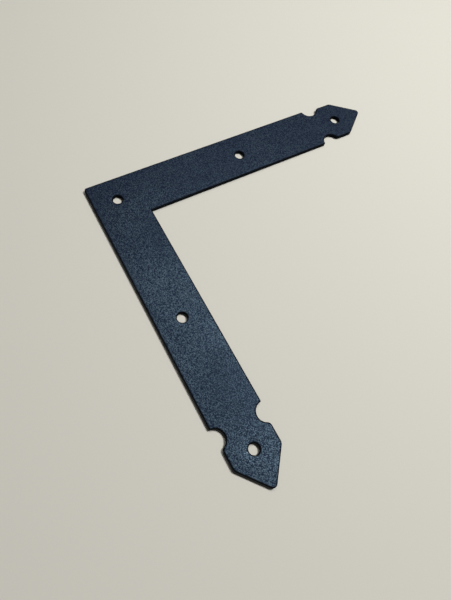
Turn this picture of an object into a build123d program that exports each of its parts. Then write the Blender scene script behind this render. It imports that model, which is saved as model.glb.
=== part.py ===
from build123d import *
import math
import os

# Decorative corner plate: a flat L of punched steel sheet. Each arm ends in a pointed head
# behind a pair of round notches. Millimetres, +Z up. The back face lies on Z = 0, the origin
# is on the axis of the corner screw hole, and the arms run along +X and +Y.

# Plate
ARM_LENGTH = 200.0  # from the other arm's outer edge to the rounded point
ARM_WIDTH = 30.5
THICKNESS = 2.5
OUTER_CORNER_RADIUS = 1.4
INNER_CORNER_RADIUS = 0.5

# Screw holes, on the centre line of each arm
HOLE_DIAMETER = 6.0
MIDDLE_HOLE_DISTANCE = 101.0  # from the other arm's outer edge
POINT_HOLE_SETBACK = 20.4  # from the rounded point

# Pointed head
HEAD_WIDTH = 28.2
POINT_ANGLE = 77.0  # between the two slanted sides, in degrees
POINT_RADIUS = 2.3
SHOULDER_RADIUS = 3.5

# Round notches between arm and head
NOTCH_RADIUS = 5.6
NOTCH_SETBACK = 33.4  # from the rounded point to the notches' centres
NOTCH_EXIT_RADIUS = 2.5
NOTCH_CORNER_ROUNDING = 0.3  # left on the face, inside the rolled edge

# The punch rolls the sheet's front edges over and leaves its back edges square
FRONT_EDGE_ROLL = 0.45

# Places worked out from the dimensions above, with the outer corner at the origin
CENTRE_LINE = ARM_WIDTH / 2
HEAD_STEP = (ARM_WIDTH - HEAD_WIDTH) / 2
NOTCH_DISTANCE = ARM_LENGTH - NOTCH_SETBACK
HALF_POINT_ANGLE = math.radians(POINT_ANGLE / 2)
SHARP_POINT_DISTANCE = ARM_LENGTH + POINT_RADIUS * (1 / math.sin(HALF_POINT_ANGLE) - 1)
SHOULDER_DISTANCE = SHARP_POINT_DISTANCE - HEAD_WIDTH / 2 / math.tan(HALF_POINT_ANGLE)
NOTCH_EXIT_DISTANCE = NOTCH_DISTANCE + math.sqrt(NOTCH_RADIUS**2 - HEAD_STEP**2)


def across_arm(distance, inset):
    """The two places at one distance along the arm, each the same inset from its own edge."""
    return [(distance, inset), (distance, ARM_WIDTH - inset)]


def round_corners(outline, places, radius):
    """Round the outline's corners that lie at the given places."""
    corners = [outline.vertices().sort_by_distance(Vector(*place))[0] for place in places]
    return fillet(corners, radius)


def arm_outline():
    """The flat outline of one arm along +X, with the outer corner at the origin."""
    strip = Pos(NOTCH_DISTANCE / 2, CENTRE_LINE) * Rectangle(NOTCH_DISTANCE, ARM_WIDTH)
    head_start, head_start_far = across_arm(NOTCH_DISTANCE, HEAD_STEP)
    shoulder, shoulder_far = across_arm(SHOULDER_DISTANCE, HEAD_STEP)
    sharp_point = (SHARP_POINT_DISTANCE, CENTRE_LINE)
    head = make_face(
        Polyline(head_start, shoulder, sharp_point, shoulder_far, head_start_far, close=True)
    )
    outline = strip + head
    for centre in across_arm(NOTCH_DISTANCE, 0):
        outline -= Pos(*centre) * Circle(NOTCH_RADIUS)
    notch_starts = across_arm(NOTCH_DISTANCE - NOTCH_RADIUS, 0)
    notch_exits = across_arm(NOTCH_EXIT_DISTANCE, HEAD_STEP)
    outline = round_corners(outline, notch_starts, FRONT_EDGE_ROLL + NOTCH_CORNER_ROUNDING)
    outline = round_corners(outline, notch_exits, NOTCH_EXIT_RADIUS)
    outline = round_corners(outline, [shoulder, shoulder_far], SHOULDER_RADIUS)
    return round_corners(outline, [sharp_point], POINT_RADIUS)


def plate_outline():
    """Both arms joined, with the outer and inner corners rounded."""
    arm = arm_outline()
    diagonal = Plane(origin=(0, 0, 0), x_dir=(1, 1, 0), z_dir=(1, -1, 0))
    outline = arm + mirror(arm, about=diagonal)
    outline = round_corners(outline, [(0, 0)], OUTER_CORNER_RADIUS)
    return round_corners(outline, [(ARM_WIDTH, ARM_WIDTH)], INNER_CORNER_RADIUS)


def hole_centres():
    """Centres of the screw holes, the corner hole first."""
    along_arm = [MIDDLE_HOLE_DISTANCE, ARM_LENGTH - POINT_HOLE_SETBACK]
    first_arm = [(distance, CENTRE_LINE) for distance in along_arm]
    second_arm = [(CENTRE_LINE, distance) for distance in along_arm]
    return [(CENTRE_LINE, CENTRE_LINE)] + first_arm + second_arm


def corner_plate():
    """The punched plate with its holes and rolled front edges, the corner hole at the origin."""
    outline = plate_outline()
    for centre in hole_centres():
        outline -= Pos(*centre) * Circle(HOLE_DIAMETER / 2)
    plate = extrude(outline, THICKNESS)
    plate = fillet(plate.edges().group_by(Axis.Z)[-1], FRONT_EDGE_ROLL)
    return Pos(-CENTRE_LINE, -CENTRE_LINE) * plate


os.makedirs("parts", exist_ok=True)
export_step(corner_plate(), "parts/corner_plate.step")
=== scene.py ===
"""Decorative corner plate in black textured powder coat, dressed round its CAD frame."""

import math
from collections import namedtuple

import bpy
import numpy as np
from bpy.props import FloatProperty, FloatVectorProperty, PointerProperty
from mathutils import Matrix, Vector, noise
from mathutils.geometry import delaunay_2d_cdt


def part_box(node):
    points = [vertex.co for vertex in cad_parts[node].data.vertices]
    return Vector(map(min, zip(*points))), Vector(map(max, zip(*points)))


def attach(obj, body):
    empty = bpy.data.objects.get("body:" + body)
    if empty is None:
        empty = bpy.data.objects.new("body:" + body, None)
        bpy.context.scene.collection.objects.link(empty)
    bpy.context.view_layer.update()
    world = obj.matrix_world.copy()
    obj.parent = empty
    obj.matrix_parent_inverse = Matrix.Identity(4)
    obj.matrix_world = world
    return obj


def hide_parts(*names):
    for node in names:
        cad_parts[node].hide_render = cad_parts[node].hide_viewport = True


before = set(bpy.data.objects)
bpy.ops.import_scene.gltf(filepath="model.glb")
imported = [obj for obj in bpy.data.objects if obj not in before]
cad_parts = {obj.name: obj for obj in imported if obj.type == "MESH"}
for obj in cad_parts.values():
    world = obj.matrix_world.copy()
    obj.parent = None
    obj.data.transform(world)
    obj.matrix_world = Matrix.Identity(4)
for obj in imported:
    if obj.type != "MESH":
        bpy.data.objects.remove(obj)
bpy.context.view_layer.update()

bl_info = {
    "name": "Decorative Corner Plate",
    "version": (1, 0, 0),
    "blender": (4, 5, 0),
    "location": "3D View > Sidebar > Corner Plate",
    "description": "A punched steel corner plate with pointed arms, in textured powder coat",
    "category": "Add Mesh",
}

MM = 0.001
NODE = "corner_plate"
BODY = "root"
PIECE = "coated_corner_plate"
EDGE_DISTANCE = "edge_distance"
LOW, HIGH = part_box(NODE)

CONVEX, HOLLOW = 1, -1
Arc = namedtuple("Arc", "x y radius start end side")


# ---------------------------------------------------------------- sizes and colours


def length(name, description, millimetres):
    """A length that the user can change, given in millimetres and held in metres."""
    return FloatProperty(
        name=name,
        description=description,
        default=millimetres * MM,
        min=0.0,
        unit="LENGTH",
        precision=5,
    )


def angle(name, description, degrees):
    """An angle that the user can change, given in degrees and held in radians."""
    return FloatProperty(
        name=name, description=description, default=math.radians(degrees), unit="ROTATION"
    )


def factor(name, description, share):
    """A plain number from 0 to 1."""
    return FloatProperty(name=name, description=description, default=share, min=0.0, max=1.0)


def colour(name, description, red, green, blue):
    """A linear colour."""
    return FloatVectorProperty(
        name=name,
        description=description,
        subtype="COLOR",
        size=3,
        min=0.0,
        max=1.0,
        default=(red, green, blue),
    )


class PlateShape(bpy.types.PropertyGroup):
    """The plate's outline and screw holes."""

    arm_length: length("Arm length", "Outer corner to rounded point", (HIGH.x - LOW.x) / MM)
    arm_width: length("Arm width", "Width of the strip", 30.5)
    thickness: length("Thickness", "Sheet with its coat", (HIGH.z - LOW.z) / MM)
    outer_corner: length("Outer corner", "Radius of the outer corner", 1.4)
    inner_corner: length("Inner corner", "Radius of the inner corner", 0.5)
    hole_diameter: length("Hole diameter", "Diameter of the screw holes", 6.0)
    middle_hole: length("Middle hole", "Outer corner to the middle hole", 101.0)
    point_hole: length("Point hole", "Rounded point back to its hole", 20.4)
    head_width: length("Head width", "Width of the pointed head", 28.2)
    point_angle: angle("Point angle", "Angle between the head's slanted sides", 77.0)
    point_radius: length("Point radius", "Rounding of the point", 2.3)
    shoulder_radius: length("Shoulder radius", "Rounding where the head starts to narrow", 3.5)
    notch_radius: length("Notch radius", "Radius of the round notches", 5.6)
    notch_setback: length("Notch setback", "Rounded point back to the notches", 33.4)
    notch_entry: length("Notch entry", "Rounding between strip and notch", 0.75)
    notch_exit: length("Notch exit", "Rounding between notch and head", 2.5)


class PlateEdges(bpy.types.PropertyGroup):
    """What the punch and the coat do to the sheet's edges and faces."""

    roll_reach: length("Roll reach", "How far in the rolled front edge reaches", 0.7)
    roll_fall: length("Roll fall", "How far down the rolled front edge reaches", 0.28)
    dish_width: length("Dish width", "How far the face sags round a screw hole", 6.0)
    dish_depth: length("Dish depth", "How far the face sags at a screw hole", 0.1)
    break_height: length("Break height", "Height of the torn part of the cut edge", 1.2)
    break_depth: length("Break depth", "How far the torn part leans in", 0.06)
    back_rounding: length("Back rounding", "Radius of the coat on the back edge", 0.2)
    wave_length: length("Wave length", "Distance between the strip's soft waves", 38.0)
    wave_depth: length("Wave depth", "Depth of the strip's soft waves", 0.03)


class CoatFinish(bpy.types.PropertyGroup):
    """The black powder coat."""

    base: colour("Coat", "Colour of the coat", 0.003, 0.004, 0.019)
    # Painted shade: a near-black rim colour that stands in for the shade and dark reflections
    # along the rolled edges and cut walls
    edge: colour("Edge shade", "Colour of the thin coat on the cut edges", 0.002, 0.002, 0.003)
    # Fleck colours: partly the flecks' own metallic tone, partly a painted highlight on the
    # grain tops
    fleck_glint: colour("Fleck Glint", "Colour of the shiny flecks in the coat", 0.065, 0.099, 0.128)
    pale_fleck_glint: colour("Pale fleck", "Colour of the palest flecks", 0.086, 0.12, 0.15)
    sheen_tint: colour("Sheen tint", "Colour of the coat's reflection", 0.5, 0.83, 1.0)
    roughness: factor("Roughness", "How matt the coat is", 0.42)
    fleck_roughness: factor("Fleck roughness", "How matt the flecks are", 0.33)
    edge_roughness: factor("Edge roughness", "How matt the thin coat on the cut edges is", 0.95)
    specular: factor("Reflection", "Strength of the coat's reflection", 0.15)
    grain_size: length("Grain size", "Size of the coat's grains", 0.42)
    grain_height: length("Grain height", "Height of the coat's grains", 0.022)
    mottle_size: length("Mottle size", "Size of the soft cloudy patches", 14.0)
    # Sheen drifts are painted sheen: broad stretches where the flecks are richer and the coat
    # lighter, standing in for the coat's uneven reflection
    sheen_drift_size: length("Drift size", "Size of the broad drifts of richer coat", 48.0)
    sheen_drift_share: factor("Drift", "How much the flecks thin out between the drifts", 0.4)
    # Edge width sets how far in the painted edge shade and the matt edge finish reach
    edge_width: length("Edge width", "Width of the thin coat along the edges", 0.7)


class StudioSetup(bpy.types.PropertyGroup):
    """Floor, sky and camera."""

    floor: colour("Floor", "Colour of the floor", 0.65, 0.63, 0.56)
    floor_radius: length("Floor radius", "Radius of the floor", 3000.0)
    floor_clear: length("Floor clear", "Where the floor starts to melt into the backdrop", 300.0)
    floor_fade: length("Floor fade", "Where the floor has melted into the backdrop", 900.0)
    sky: colour("Sky", "Colour of the light all round", 0.05, 0.05, 0.05)
    camera_distance: length("Camera distance", "Camera to its aim on the front face", 259.8)
    camera_azimuth: angle("Camera azimuth", "Turn of the camera round the plate", 46.39)
    camera_elevation: angle("Camera elevation", "Height of the camera over the floor", 65.41)
    camera_roll: angle("Camera roll", "Turn of the camera about its own axis", 15.83)
    camera_aim_x: length("Camera aim X", "Where the camera looks, along X", 87.26)
    camera_aim_y: length("Camera aim Y", "Where the camera looks, along Y", 26.48)
    camera_lens: FloatProperty(
        name="Camera lens", description="Focal length", default=27.62, unit="CAMERA"
    )


class CornerPlateSettings(bpy.types.PropertyGroup):
    """Everything that a user can change."""

    shape: PointerProperty(type=PlateShape)
    edges: PointerProperty(type=PlateEdges)
    coat: PointerProperty(type=CoatFinish)
    studio: PointerProperty(type=StudioSetup)


# ---------------------------------------------------------------- outline


def across_centre_line(arc, width):
    """The same arc on the arm's other edge, walked the same way round the plate."""
    return arc._replace(y=width - arc.y, start=-arc.end, end=-arc.start)


def across_diagonal(arc):
    """The same arc on the other arm, walked the same way round the plate."""
    quarter = math.pi / 2
    return arc._replace(x=arc.y, y=arc.x, start=quarter - arc.end, end=quarter - arc.start)


def arm_arcs(s):
    """The arcs of the arm along +X, walked out along its outer edge and back along its inner."""
    down = -math.pi / 2
    half_angle = s.point_angle / 2
    step = (s.arm_width - s.head_width) / 2
    notch_x = s.arm_length - s.notch_setback
    sharp_point_x = s.arm_length + s.point_radius * (1 / math.sin(half_angle) - 1)
    shoulder_x = sharp_point_x - s.head_width / 2 / math.tan(half_angle)

    entry_reach = s.notch_radius + s.notch_entry
    entry_turn = math.asin(s.notch_entry / entry_reach)
    entry_x = notch_x - entry_reach * math.cos(entry_turn)
    exit_reach = s.notch_radius + s.notch_exit
    exit_turn = math.asin((step + s.notch_exit) / exit_reach)
    exit_x = notch_x + exit_reach * math.cos(exit_turn)
    shoulder_centre_x = shoulder_x - s.shoulder_radius * math.tan(half_angle / 2)

    outer = [
        Arc(entry_x, s.notch_entry, s.notch_entry, down, -entry_turn, CONVEX),
        Arc(notch_x, 0.0, s.notch_radius, math.pi - entry_turn, exit_turn, HOLLOW),
        Arc(exit_x, step + s.notch_exit, s.notch_exit, exit_turn - math.pi, down, CONVEX),
        Arc(
            shoulder_centre_x,
            step + s.shoulder_radius,
            s.shoulder_radius,
            down,
            down + half_angle,
            CONVEX,
        ),
    ]
    point = Arc(
        s.arm_length - s.point_radius,
        s.arm_width / 2,
        s.point_radius,
        down + half_angle,
        -down - half_angle,
        CONVEX,
    )
    inner = [across_centre_line(arc, s.arm_width) for arc in reversed(outer)]
    return outer + [point] + inner


def plate_arcs(s):
    """The whole outline as arcs joined by straight runs, anticlockwise from the outer corner."""
    arm = arm_arcs(s)
    corner = Arc(
        s.outer_corner, s.outer_corner, s.outer_corner, math.pi, 1.5 * math.pi, CONVEX
    )
    inner_centre = s.arm_width + s.inner_corner
    inside = Arc(
        inner_centre, inner_centre, s.inner_corner, 1.5 * math.pi, math.pi, HOLLOW
    )
    return [corner] + arm + [inside] + [across_diagonal(arc) for arc in reversed(arm)]


def hole_arcs(s):
    """The screw holes, each walked clockwise so that the sheet lies on the left."""
    middle = s.arm_width / 2
    distances = [s.middle_hole, s.arm_length - s.point_hole]
    centres = [(middle, middle)]
    centres += [(distance, middle) for distance in distances]
    centres += [(middle, distance) for distance in distances]
    radius = s.hole_diameter / 2
    return [Arc(x, y, radius, 2 * math.pi, 0.0, HOLLOW) for x, y in centres]


ARC_STEP = math.radians(9)
ARC_SPACING = 0.7 * MM
RUN_SPACING = 2.4 * MM
TOUCHING = 1e-6
BLOCK = 4000  # points measured at a time


def arc_samples(arc):
    """Points along an arc, with the direction out of the sheet at each."""
    sweep = abs(arc.end - arc.start)
    steps = max(math.ceil(sweep / ARC_STEP), math.ceil(sweep * arc.radius / ARC_SPACING))
    turns = np.linspace(arc.start, arc.end, steps + 1)
    radial = np.stack([np.cos(turns), np.sin(turns)], 1)
    return np.array([arc.x, arc.y]) + arc.radius * radial, arc.side * radial


def closed_contour(arcs):
    """Points and outward directions all the way round a closed row of arcs."""
    sampled = [arc_samples(arc) for arc in arcs]
    points, outward = [], []
    for index, (arc_points, arc_outward) in enumerate(sampled):
        next_points = sampled[(index + 1) % len(sampled)][0]
        run = next_points[0] - arc_points[-1]
        pieces = math.ceil(np.linalg.norm(run) / RUN_SPACING - TOUCHING)
        shares = np.arange(pieces)[:, None] / max(pieces, 1)
        points += [arc_points[:-1], arc_points[-1] + run * shares]
        outward += [arc_outward[:-1], np.repeat(arc_outward[-1:], pieces, 0)]
    return np.concatenate(points), np.concatenate(outward)


def round_contour(arc):
    """Points and outward directions round a whole circle."""
    points, outward = arc_samples(arc)
    return points[:-1], outward[:-1]


def distance_to_edges(points, contours):
    """How far each point is from the nearest edge of the sheet."""
    nearest = np.full(len(points), np.inf)
    for contour, _ in contours:
        start, run = contour, np.roll(contour, -1, 0) - contour
        for first in range(0, len(points), BLOCK):
            here = slice(first, first + BLOCK)
            block = points[here, None, :]
            share = ((block - start) * run).sum(2) / (run * run).sum(1)
            foot = start + run * np.clip(share, 0, 1)[..., None]
            away = np.linalg.norm(block - foot, axis=2).min(1)
            nearest[here] = np.minimum(nearest[here], away)
    return nearest


# ---------------------------------------------------------------- solid shape

# The front face has rings that follow every edge, and an even field of points between them
ROLL_RINGS = 7
ROLL_INSET = 0.45 * MM
RING_INSETS = [0.62 * MM, 0.82 * MM, 1.05 * MM, 1.35 * MM, 1.75 * MM, 2.3 * MM]
RING_CLEARANCE = 0.93  # the share of its inset that a ring's point keeps from other edges
FIELD_SPACING = 1.6 * MM
FIELD_CLEARANCE = 0.55  # from the innermost ring, in spacings
BACK_SPACING = 3 * FIELD_SPACING
BACK_CLEARANCE = 0.6  # from the edges, in spacings
CLOSEST = 0.14 * MM

# The cut edge
BACK_STEPS = 4
TORN_LIP = 0.12 * MM
TORN_LIP_LEAN = 0.35  # the share of the torn part's lean that is left at its lip
WAVE_SLICE = 0.5

# Filling a flat face
FREE = -1  # marks a point that lies on no ring
KEEP_INSIDE = 1  # keep the triangles within the outer ring
MERGE_MM = 1e-5


def even_field(s, spacing):
    """An even field of points over both arms, in offset rows."""
    columns = np.arange(0, s.arm_length, spacing)
    rows = np.arange(0, s.arm_length, spacing * math.sqrt(3) / 2)
    x, y = np.meshgrid(columns, rows)
    x[1::2] += spacing / 2
    field = np.stack([x.ravel(), y.ravel()], 1)
    return field[(field.min(1) < s.arm_width) & (field.max(1) < s.arm_length)]


def well_placed(s, contours, wanted):
    """The wanted points that lie in the sheet, clear of its edges and of each other."""
    kept, taken = [], {}
    for points, least in wanted:
        for (x, y), away in zip(points, distance_to_edges(points, contours)):
            if away < least or not in_sheet(s, x, y):
                continue
            column, row = int(x / CLOSEST), int(y / CLOSEST)
            near = (taken.get((column + i, row + j)) for i in (-1, 0, 1) for j in (-1, 0, 1))
            if any(other and math.dist(other, (x, y)) < CLOSEST for other in near):
                continue
            taken[column, row] = (x, y)
            kept.append((x, y))
    return np.array(kept)


def front_points(s, contours):
    """Free points for the front face: rings that follow the edges, then an even field."""
    wanted = [
        (points - outward * inset, RING_CLEARANCE * inset)
        for inset in RING_INSETS
        for points, outward in contours
    ]
    field_inset = RING_INSETS[-1] + FIELD_CLEARANCE * FIELD_SPACING
    wanted.append((even_field(s, FIELD_SPACING), field_inset))
    return well_placed(s, contours, wanted)


def back_points(s, contours):
    """Free points for the flat back face."""
    wanted = [(even_field(s, BACK_SPACING), BACK_CLEARANCE * BACK_SPACING)]
    return well_placed(s, contours, wanted)


def in_sheet(s, x, y):
    """Whether a point that is clear of every edge lies in the sheet and not beyond it."""
    along, across = max(x, y), min(x, y)
    if along <= s.arm_width:
        return across > 0 and not in_hole(s, x, y)
    if not 0 < across < s.arm_width:
        return False
    half_angle = s.point_angle / 2
    sharp_point_x = s.arm_length + s.point_radius * (1 / math.sin(half_angle) - 1)
    off_centre = abs(across - s.arm_width / 2)
    in_point = off_centre < (sharp_point_x - along) * math.tan(half_angle)
    notch_x = s.arm_length - s.notch_setback
    off_edge = s.arm_width / 2 - off_centre
    in_notch = math.hypot(along - notch_x, off_edge) < s.notch_radius
    off_head = along > notch_x and off_centre > s.head_width / 2
    return in_point and not in_notch and not off_head and not in_hole(s, x, y)


def in_hole(s, x, y):
    """Whether a point lies within a screw hole."""
    return any(math.hypot(x - hole.x, y - hole.y) < hole.radius for hole in hole_arcs(s))


def face_sag(s, e, x, y, away):
    """How far the front face lies under the plate's full height at a point near an edge."""
    left = max(0.0, 1 - away / e.roll_reach)
    sag = e.roll_fall * (1 - math.sqrt(1 - left * left))
    for hole in hole_arcs(s):
        off = math.hypot(x - hole.x, y - hole.y) - hole.radius
        at_hole = max(0.0, 1 - max(off, 0.0) / e.dish_width)
        sag += e.dish_depth * at_hole**2
    wave = noise.noise(Vector((x / e.wave_length, y / e.wave_length, WAVE_SLICE)))
    return sag + e.wave_depth * min(1.0, max(0.0, 0.5 + 0.5 * wave))


def cut_edge_profile(e):
    """Insets and heights from the back face up the cut edge."""
    back = [
        (
            e.break_depth + e.back_rounding * (1 - math.sin(turn)),
            e.back_rounding * (1 - math.cos(turn)),
        )
        for turn in np.linspace(0, math.pi / 2, BACK_STEPS + 1)
    ]
    torn = (TORN_LIP_LEAN * e.break_depth, e.break_height - TORN_LIP)
    return back + [torn, (0.0, e.break_height)]


class SheetMesh:
    """The plate's vertices and faces as they are laid down, and each vertex's edge distance."""

    def __init__(self):
        self.verts, self.edge_distances, self.faces = [], [], []

    def add_vertex(self, place, edge_distance):
        """Lay one vertex and return its number."""
        self.verts.append(place)
        self.edge_distances.append(edge_distance)
        return len(self.verts) - 1

    def add_ring(self, ring, heights, inset):
        """Lay a closed ring of vertices that all have the same inset."""
        return [self.add_vertex((x, y, z), inset) for (x, y), z in zip(ring, heights)]

    def join_rings(self, low, high):
        """Fill the strip between two rings."""
        for i in range(len(low)):
            j = (i + 1) % len(low)
            self.faces.append((low[i], low[j], high[j], high[i]))

    def cap(self, rings, free, edge_distances, heights, upward):
        """Close a flat face within the first ring and round the others, through free points."""
        numbers = [number for ring in rings for number in ring]
        ring_of = [index for index, ring in enumerate(rings) for _ in ring]
        flat = [self.verts[number][:2] for number in numbers]
        for (x, y), away, z in zip(free, edge_distances, heights):
            numbers.append(self.add_vertex((x, y, z), away))
            ring_of.append(FREE)
            flat.append((x, y))
        edges, start = [], 0
        for ring in rings:
            count = len(ring)
            edges += [(start + i, start + (i + 1) % count) for i in range(count)]
            start += count
        in_mm = [Vector(point) / MM for point in flat]
        made = delaunay_2d_cdt(in_mm, edges, [], KEEP_INSIDE, MERGE_MM)
        points, triangles, sources = made[0], made[2], made[3]
        if len(points) != len(flat):
            raise RuntimeError("the face's points cross or fall together")
        for triangle in triangles:
            corners = [sources[i][0] for i in triangle]
            touched = {ring_of[i] for i in corners}
            fills_hole = len(touched) == 1 and touched.pop() > 0
            if not fills_hole:
                face = [numbers[i] for i in corners]
                self.faces.append(tuple(face if upward else reversed(face)))


def build_plate_mesh(s, e):
    """The whole plate as one closed mesh, with the distance from the nearest edge kept on it."""
    contours = [closed_contour(plate_arcs(s))]
    contours += [round_contour(hole) for hole in hole_arcs(s)]
    cut = cut_edge_profile(e)
    roll = ROLL_INSET * np.linspace(0, 1, ROLL_RINGS + 1) ** 2

    def top(points, edge_distances):
        return [
            s.thickness - face_sag(s, e, x, y, away)
            for (x, y), away in zip(points, edge_distances)
        ]

    sheet = SheetMesh()
    back_rings, front_rings = [], []
    for points, outward in contours:
        count = len(points)
        rings = [
            sheet.add_ring(points - outward * inset, [height] * count, inset)
            for inset, height in cut
        ]
        for inset in roll:
            ring = points - outward * inset
            rings.append(sheet.add_ring(ring, top(ring, [inset] * count), inset))
        for low, high in zip(rings, rings[1:]):
            sheet.join_rings(low, high)
        back_rings.append(rings[0])
        front_rings.append(rings[-1])

    front = front_points(s, contours)
    away = distance_to_edges(front, contours)
    sheet.cap(front_rings, front, away, top(front, away), True)
    back = back_points(s, contours)
    away = distance_to_edges(back, contours)
    sheet.cap(back_rings, back, away, [0.0] * len(back), False)

    mesh = bpy.data.meshes.new(PIECE)
    placed = [(x + LOW.x, y + LOW.y, z + LOW.z) for x, y, z in sheet.verts]
    mesh.from_pydata(placed, [], sheet.faces)
    mesh.validate()
    mesh.shade_smooth()
    reach = mesh.attributes.new(EDGE_DISTANCE, "FLOAT", "POINT")
    reach.data.foreach_set("value", sheet.edge_distances)
    return mesh


# ---------------------------------------------------------------- finish


def new_group(name, inputs, outputs):
    """An empty shader node group with named sockets, and its two end nodes."""
    group = bpy.data.node_groups.new(name, "ShaderNodeTree")
    for socket_name, kind, default in inputs:
        socket = group.interface.new_socket(socket_name, in_out="INPUT", socket_type=kind)
        if default is not None:
            socket.default_value = default
    for socket_name, kind in outputs:
        group.interface.new_socket(socket_name, in_out="OUTPUT", socket_type=kind)
    return group, group.nodes.new("NodeGroupInput"), group.nodes.new("NodeGroupOutput")


def feed(tree, socket, value):
    """Give a socket a plain value or another node's output."""
    if isinstance(value, bpy.types.NodeSocket):
        tree.links.new(value, socket)
    else:
        socket.default_value = value


def add(tree, kind, settings=None, **inputs):
    """A node with its settings. Its inputs go by name, or by number as i0, i1 and so on."""
    node = tree.nodes.new(kind)
    for key, value in (settings or {}).items():
        setattr(node, key, value)
    for key, value in inputs.items():
        by_number = key[0] == "i" and key[1:].isdigit()
        place = int(key[1:]) if by_number else key.replace("_", " ")
        feed(tree, node.inputs[place], value)
    return node


def place_group(tree, group, **inputs):
    """A group placed in a material, with its inputs by name."""
    return add(tree, "ShaderNodeGroup", {"node_tree": group}, **inputs)


def maths(tree, operation, first, second):
    """A Math node's result."""
    return add(tree, "ShaderNodeMath", {"operation": operation}, i0=first, i1=second).outputs[0]


def ramp(tree, value, low, high, to_low=0.0, to_high=1.0):
    """A smooth step of a value between two levels."""
    settings = {"interpolation_type": "SMOOTHSTEP"}
    levels = {"i1": low, "i2": high, "i3": to_low, "i4": to_high}
    return add(tree, "ShaderNodeMapRange", settings, i0=value, **levels).outputs[0]


def mix_colours(tree, share, first, second):
    """A blend of two colours."""
    settings = {"data_type": "RGBA"}
    return add(tree, "ShaderNodeMix", settings, i0=share, i6=first, i7=second).outputs[2]


def mix_numbers(tree, share, first, second):
    """A blend of two numbers."""
    return add(tree, "ShaderNodeMix", i0=share, i2=first, i3=second).outputs[0]


def mix_shaders(tree, share, first, second):
    """A blend of two shaders."""
    return add(tree, "ShaderNodeMixShader", i0=share, i1=first, i2=second).outputs[0]


def opaque(values):
    """A colour with the alpha that sockets ask for."""
    return (*values, 1.0)


def empty_material(name):
    """A material with no nodes, and its node tree."""
    material = bpy.data.materials.new(name)
    material.use_nodes = True
    material.node_tree.nodes.clear()
    return material, material.node_tree


# How far a grain's dome and the painted highlight on its top reach from its middle, in grain
# sizes
DOME_TOP, DOME_FOOT = 0.05, 0.75
GLINT_TOP, GLINT_FOOT = 0.1, 0.9
# How much of the painted highlight is left at a fleck's rim
GLINT_DULLEST = 0.25  # how bright a fleck still is at its rim
CRUMBS_PER_GRAIN = 1.5
# Draws between 0 and 1 at which grains turn into shiny flecks with painted highlights, and
# flecks into pale ones
FLECK_DRAWS = (0.25, 0.75)
PALE_DRAWS = (0.5, 1.0)
PATCH_LEVELS = (0.3, 0.7)
# Where the painted edge shade and the matt edge finish end, in edge widths
BAND_FULL, BAND_END = 0.6, 1.1


def coat_grain_group():
    """Rounded grains of a fine-textured powder coat, some of them metallic flecks with a painted
    highlight on their tops.
    """
    group, start, end = new_group(
        "Powder Grain",
        [
            ("Coordinates", "NodeSocketVector", None),
            ("Grain Size", "NodeSocketFloat", 0.42 * MM),
        ],
        [
            ("Relief", "NodeSocketFloat"),
            ("Fleck Glint", "NodeSocketFloat"),
            ("Pale", "NodeSocketFloat"),
        ],
    )
    where, size = start.outputs["Coordinates"], start.outputs["Grain Size"]
    per_grain = maths(group, "DIVIDE", 1.0, size)
    grains = add(group, "ShaderNodeTexVoronoi", Vector=where, Scale=per_grain)
    chance = add(group, "ShaderNodeSeparateColor", Color=grains.outputs["Color"])
    off_middle = grains.outputs["Distance"]
    dome = ramp(group, off_middle, DOME_TOP, DOME_FOOT, 1.0, 0.0)
    # Painted highlight: each fleck is lightest at its top and dims towards its rim
    grain_top_glint = ramp(group, off_middle, GLINT_TOP, GLINT_FOOT, 1.0, GLINT_DULLEST)
    crumbs = add(
        group,
        "ShaderNodeTexNoise",
        Vector=where,
        Scale=maths(group, "MULTIPLY", per_grain, CRUMBS_PER_GRAIN),
        Detail=2.0,
        Roughness=0.6,
    ).outputs["Fac"]
    bright = ramp(group, chance.outputs["Red"], *FLECK_DRAWS)
    pale = ramp(group, chance.outputs["Green"], *PALE_DRAWS)
    feed(group, end.inputs["Relief"], maths(group, "ADD", dome, crumbs))
    feed(group, end.inputs["Fleck Glint"], maths(group, "MULTIPLY", bright, grain_top_glint))
    feed(group, end.inputs["Pale"], pale)
    return group


def coat_and_sheen_clouds_group():
    """Soft noise patches, used for rougher patches of coat and for the drifts of painted sheen.
    """
    group, start, end = new_group(
        "Coat and Sheen Clouds",
        [
            ("Coordinates", "NodeSocketVector", None),
            ("Patch Size", "NodeSocketFloat", 14.0 * MM),
        ],
        [("Patch", "NodeSocketFloat")],
    )
    per_patch = maths(group, "DIVIDE", 1.0, start.outputs["Patch Size"])
    patches = add(
        group,
        "ShaderNodeTexNoise",
        Vector=start.outputs["Coordinates"],
        Scale=per_patch,
        Detail=1.0,
        Roughness=0.5,
    ).outputs["Fac"]
    feed(group, end.inputs["Patch"], ramp(group, patches, *PATCH_LEVELS))
    return group


def edge_shade_group():
    """The reach of the painted edge shade: a dark, fleck-free rim along the edges that stands in
    for the shade and dark reflections on the rolled edges and cut walls, and is matt there too.
    """
    group, start, end = new_group(
        "Painted Edge Shade",
        [
            ("Edge Distance", "NodeSocketFloat", 1.0),
            ("Width", "NodeSocketFloat", 0.7 * MM),
        ],
        [("Edge Shade", "NodeSocketFloat")],
    )
    widths = maths(group, "DIVIDE", start.outputs["Edge Distance"], start.outputs["Width"])
    feed(group, end.inputs["Edge Shade"], ramp(group, widths, BAND_FULL, BAND_END, 1.0, 0.0))
    return group


# The drifts are painted sheen: where they lie the flecks are richer and the coat lighter, in
# place of the coat's uneven reflection
SHEEN_DRIFT_PLACE = (-6.36, -0.16, -7.96)  # which stretch of the cloud pattern the drifts use
PATCH_ROUGHENING = 0.04
DRIFT_SMOOTHING = 0.08
FLECK_METAL = 0.8


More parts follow.
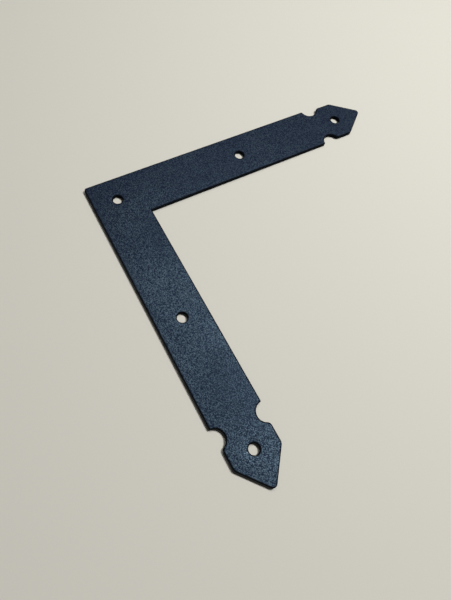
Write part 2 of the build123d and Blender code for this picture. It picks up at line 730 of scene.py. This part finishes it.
def coat_material(c):
    """Black powder coat: fine grain, metallic flecks with painted highlights, broad drifts of
    painted sheen, rougher patches, and painted shade in a matt rim along the edges.
    """
    material, tree = empty_material("powder_coat")
    where = add(tree, "ShaderNodeTexCoord").outputs["Object"]
    grain = place_group(tree, coat_grain_group(), Coordinates=where, Grain_Size=c.grain_size)
    clouds_group = coat_and_sheen_clouds_group()
    clouds = place_group(tree, clouds_group, Coordinates=where, Patch_Size=c.mottle_size)
    elsewhere = add(tree, "ShaderNodeMapping", Vector=where, Location=SHEEN_DRIFT_PLACE).outputs[0]
    painted_sheen_drifts = place_group(tree, clouds_group, Coordinates=elsewhere, Patch_Size=c.sheen_drift_size)
    reach = add(tree, "ShaderNodeAttribute", {"attribute_name": EDGE_DISTANCE}).outputs["Fac"]
    edge = place_group(tree, edge_shade_group(), Edge_Distance=reach, Width=c.edge_width)
    patch, painted_sheen_drift, edge_shade = clouds.outputs[0], painted_sheen_drifts.outputs[0], edge.outputs[0]

    # Along the edges the painted shade darkens the colour and takes the flecks' painted
    # highlights away
    smooth = maths(tree, "SUBTRACT", 1.0, edge_shade)
    # Painted sheen: between the drifts the flecks thin out and the coat is darker
    painted_sheen = mix_numbers(tree, painted_sheen_drift, 1.0 - c.sheen_drift_share, 1.0)
    fleck_glints = maths(tree, "MULTIPLY", grain.outputs["Fleck Glint"], smooth)
    fleck_glints = maths(tree, "MULTIPLY", fleck_glints, painted_sheen)
    pale = grain.outputs["Pale"]
    fleck_glint_colour = mix_colours(tree, pale, opaque(c.fleck_glint), opaque(c.pale_fleck_glint))
    ground = mix_colours(tree, edge_shade, opaque(c.base), opaque(c.edge))
    base = mix_colours(tree, fleck_glints, ground, fleck_glint_colour)
    rougher = maths(tree, "MULTIPLY", patch, PATCH_ROUGHENING)
    smoother = maths(tree, "MULTIPLY", painted_sheen_drift, DRIFT_SMOOTHING)
    rough = maths(tree, "ADD", c.roughness, rougher)
    rough = maths(tree, "SUBTRACT", rough, smoother)
    rough = mix_numbers(tree, fleck_glints, rough, c.fleck_roughness)
    rough = mix_numbers(tree, edge_shade, rough, c.edge_roughness)
    bump = add(
        tree,
        "ShaderNodeBump",
        Strength=1.0,
        Distance=c.grain_height,
        Height=grain.outputs["Relief"],
    )
    shader = add(
        tree,
        "ShaderNodeBsdfPrincipled",
        Base_Color=base,
        Metallic=maths(tree, "MULTIPLY", fleck_glints, FLECK_METAL),
        Roughness=rough,
        Specular_IOR_Level=c.specular,
        Specular_Tint=opaque(c.sheen_tint),
        Normal=bump.outputs["Normal"],
    )
    output = add(tree, "ShaderNodeOutputMaterial")
    feed(tree, output.inputs["Surface"], shader.outputs["BSDF"])
    return material


# ---------------------------------------------------------------- studio

Lamp = namedtuple("Lamp", "name azimuth zenith size power")
# Azimuth and zenith in degrees, size in metres and power in watts
LAMPS = [
    Lamp("key_softbox", 90, 28, 0.28, 13.3),
    Lamp("overhead_softbox", 150, 27, 0.3, 2.2),
]
LAMP_DISTANCE = 1.2
LIT_MIDDLE = Vector((0.09, 0.05, 0.0))
FLOOR_MIDDLE = (0.08, 0.08, LOW.z)
FLOOR_CORNERS = 96
SENSOR_MM = 36.0
NEAREST_SEEN, FARTHEST_SEEN = 0.01, 20.0
# The backdrop ends between these heights over the floor, given as sines
BACKDROP_LOW, BACKDROP_HIGH = 0.15, 0.45


def backdrop_rays(tree):
    """1 for rays straight from the camera, and 1 for those mirrored or through glass."""
    rays = add(tree, "ShaderNodeLightPath").outputs
    bounced = maths(tree, "MAXIMUM", rays["Is Glossy Ray"], rays["Is Transmission Ray"])
    return rays["Is Camera Ray"], bounced


def floor_material(studio):
    """Plain pale floor that melts into the backdrop beyond the lamps' reach."""
    material, tree = empty_material("pale_floor")
    matt = add(
        tree,
        "ShaderNodeBsdfPrincipled",
        Base_Color=opaque(studio.floor),
        Roughness=0.9,
        Specular_IOR_Level=0.1,
    ).outputs["BSDF"]
    glow = add(tree, "ShaderNodeEmission", Color=opaque(studio.floor)).outputs[0]
    where = add(tree, "ShaderNodeTexCoord").outputs["Object"]
    settings = {"operation": "LENGTH"}
    away = add(tree, "ShaderNodeVectorMath", settings, i0=where).outputs["Value"]
    far = ramp(tree, away, studio.floor_clear, studio.floor_fade)
    straight, bounced = backdrop_rays(tree)
    share = maths(tree, "MULTIPLY", far, maths(tree, "MAXIMUM", straight, bounced))
    output = add(tree, "ShaderNodeOutputMaterial")
    feed(tree, output.inputs["Surface"], mix_shaders(tree, share, matt, glow))
    return material


def studio_world(studio):
    """Faint light all round, and a pale backdrop above the floor's rim."""
    world = bpy.data.worlds.new("soft_sky")
    world.use_nodes = True
    tree = world.node_tree
    tree.nodes.clear()
    sky = add(tree, "ShaderNodeBackground", Color=opaque(studio.sky)).outputs[0]
    backdrop = add(tree, "ShaderNodeBackground", Color=opaque(studio.floor)).outputs[0]
    towards = add(tree, "ShaderNodeTexCoord").outputs["Generated"]
    height = add(tree, "ShaderNodeSeparateXYZ", Vector=towards).outputs["Z"]
    low = ramp(tree, height, BACKDROP_LOW, BACKDROP_HIGH, 1.0, 0.0)
    straight, bounced = backdrop_rays(tree)
    share = maths(tree, "MAXIMUM", straight, maths(tree, "MULTIPLY", bounced, low))
    output = add(tree, "ShaderNodeOutputWorld")
    feed(tree, output.inputs["Surface"], mix_shaders(tree, share, sky, backdrop))
    return world


def add_floor(studio):
    """The pale round floor that the plate lies on."""
    bpy.ops.mesh.primitive_circle_add(
        vertices=FLOOR_CORNERS,
        radius=studio.floor_radius,
        fill_type="NGON",
        location=FLOOR_MIDDLE,
    )
    floor = bpy.context.object
    floor.name = "floor"
    floor.data.materials.append(floor_material(studio))


def link_facing(scene, name, data, at, rotation):
    """An object for a lamp or a camera, at its place and turned its way."""
    holder = bpy.data.objects.new(name, data)
    holder.location = at
    holder.rotation_mode = "QUATERNION"
    holder.rotation_quaternion = rotation
    scene.collection.objects.link(holder)
    return holder


def add_lamp(scene, lamp):
    """A round soft lamp that shines at the middle of the plate."""
    light = bpy.data.lights.new(lamp.name, "AREA")
    light.shape = "DISK"
    light.size = lamp.size
    light.energy = lamp.power
    turn, lean = math.radians(lamp.azimuth), math.radians(lamp.zenith)
    across = math.sin(lean)
    towards = Vector((across * math.cos(turn), across * math.sin(turn), math.cos(lean)))
    at = LIT_MIDDLE + LAMP_DISTANCE * towards
    link_facing(scene, lamp.name, light, at, (LIT_MIDDLE - at).to_track_quat("-Z", "Y"))


def add_camera(scene, studio, thickness):
    """The camera, looking down at the front face."""
    azimuth, elevation = studio.camera_azimuth, studio.camera_elevation
    across = math.cos(elevation)
    back = Vector(
        (math.sin(azimuth) * across, -math.cos(azimuth) * across, math.sin(elevation))
    )
    aim = Vector((studio.camera_aim_x, studio.camera_aim_y, LOW.z + thickness))
    lens = bpy.data.cameras.new("camera")
    lens.lens = studio.camera_lens
    lens.sensor_width = SENSOR_MM
    lens.clip_start, lens.clip_end = NEAREST_SEEN, FARTHEST_SEEN
    turn = (-back).to_track_quat("-Z", "Y").to_matrix()
    turn = turn @ Matrix.Rotation(studio.camera_roll, 3, "Z")
    at = aim + back * studio.camera_distance
    scene.camera = link_facing(scene, "camera", lens, at, turn.to_quaternion())


# ---------------------------------------------------------------- operators


class CORNERPLATE_OT_plate(bpy.types.Operator):
    """Build the coated corner plate in place of its CAD solid"""

    bl_idname = "corner_plate.build_plate"
    bl_label = "Build Corner Plate"

    def execute(self, context):
        settings = context.scene.corner_plate
        mesh = build_plate_mesh(settings.shape, settings.edges)
        mesh.materials.append(coat_material(settings.coat))
        piece = bpy.data.objects.new(PIECE, mesh)
        context.scene.collection.objects.link(piece)
        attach(piece, BODY)
        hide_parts(NODE)
        return {"FINISHED"}


class CORNERPLATE_OT_studio(bpy.types.Operator):
    """Lay the floor and set up the lamps, the sky and the camera"""

    bl_idname = "corner_plate.build_studio"
    bl_label = "Build Studio"

    def execute(self, context):
        scene = context.scene
        settings = scene.corner_plate
        add_floor(settings.studio)
        for lamp in LAMPS:
            add_lamp(scene, lamp)
        scene.world = studio_world(settings.studio)
        add_camera(scene, settings.studio, settings.shape.thickness)
        scene.view_settings.view_transform = "Standard"
        return {"FINISHED"}


class CORNERPLATE_PT_panel(bpy.types.Panel):
    """Sizes, colours and builders of the corner plate"""

    bl_idname = "CORNERPLATE_PT_panel"
    bl_label = "Decorative Corner Plate"
    bl_space_type = "VIEW_3D"
    bl_region_type = "UI"
    bl_category = "Corner Plate"

    def draw(self, context):
        settings = context.scene.corner_plate
        for group in (settings.shape, settings.edges, settings.coat, settings.studio):
            box = self.layout.box()
            for key in group.bl_rna.properties.keys():
                if key not in ("name", "rna_type"):
                    box.prop(group, key)
        self.layout.operator(CORNERPLATE_OT_plate.bl_idname)
        self.layout.operator(CORNERPLATE_OT_studio.bl_idname)


CLASSES = (
    PlateShape,
    PlateEdges,
    CoatFinish,
    StudioSetup,
    CornerPlateSettings,
    CORNERPLATE_OT_plate,
    CORNERPLATE_OT_studio,
    CORNERPLATE_PT_panel,
)


def register():
    for cls in CLASSES:
        bpy.utils.register_class(cls)
    bpy.types.Scene.corner_plate = PointerProperty(type=CornerPlateSettings)


def unregister():
    del bpy.types.Scene.corner_plate
    for cls in reversed(CLASSES):
        bpy.utils.unregister_class(cls)


def main():
    register()
    bpy.ops.corner_plate.build_plate()
    bpy.ops.corner_plate.build_studio()


if __name__ == "__main__":
    main()
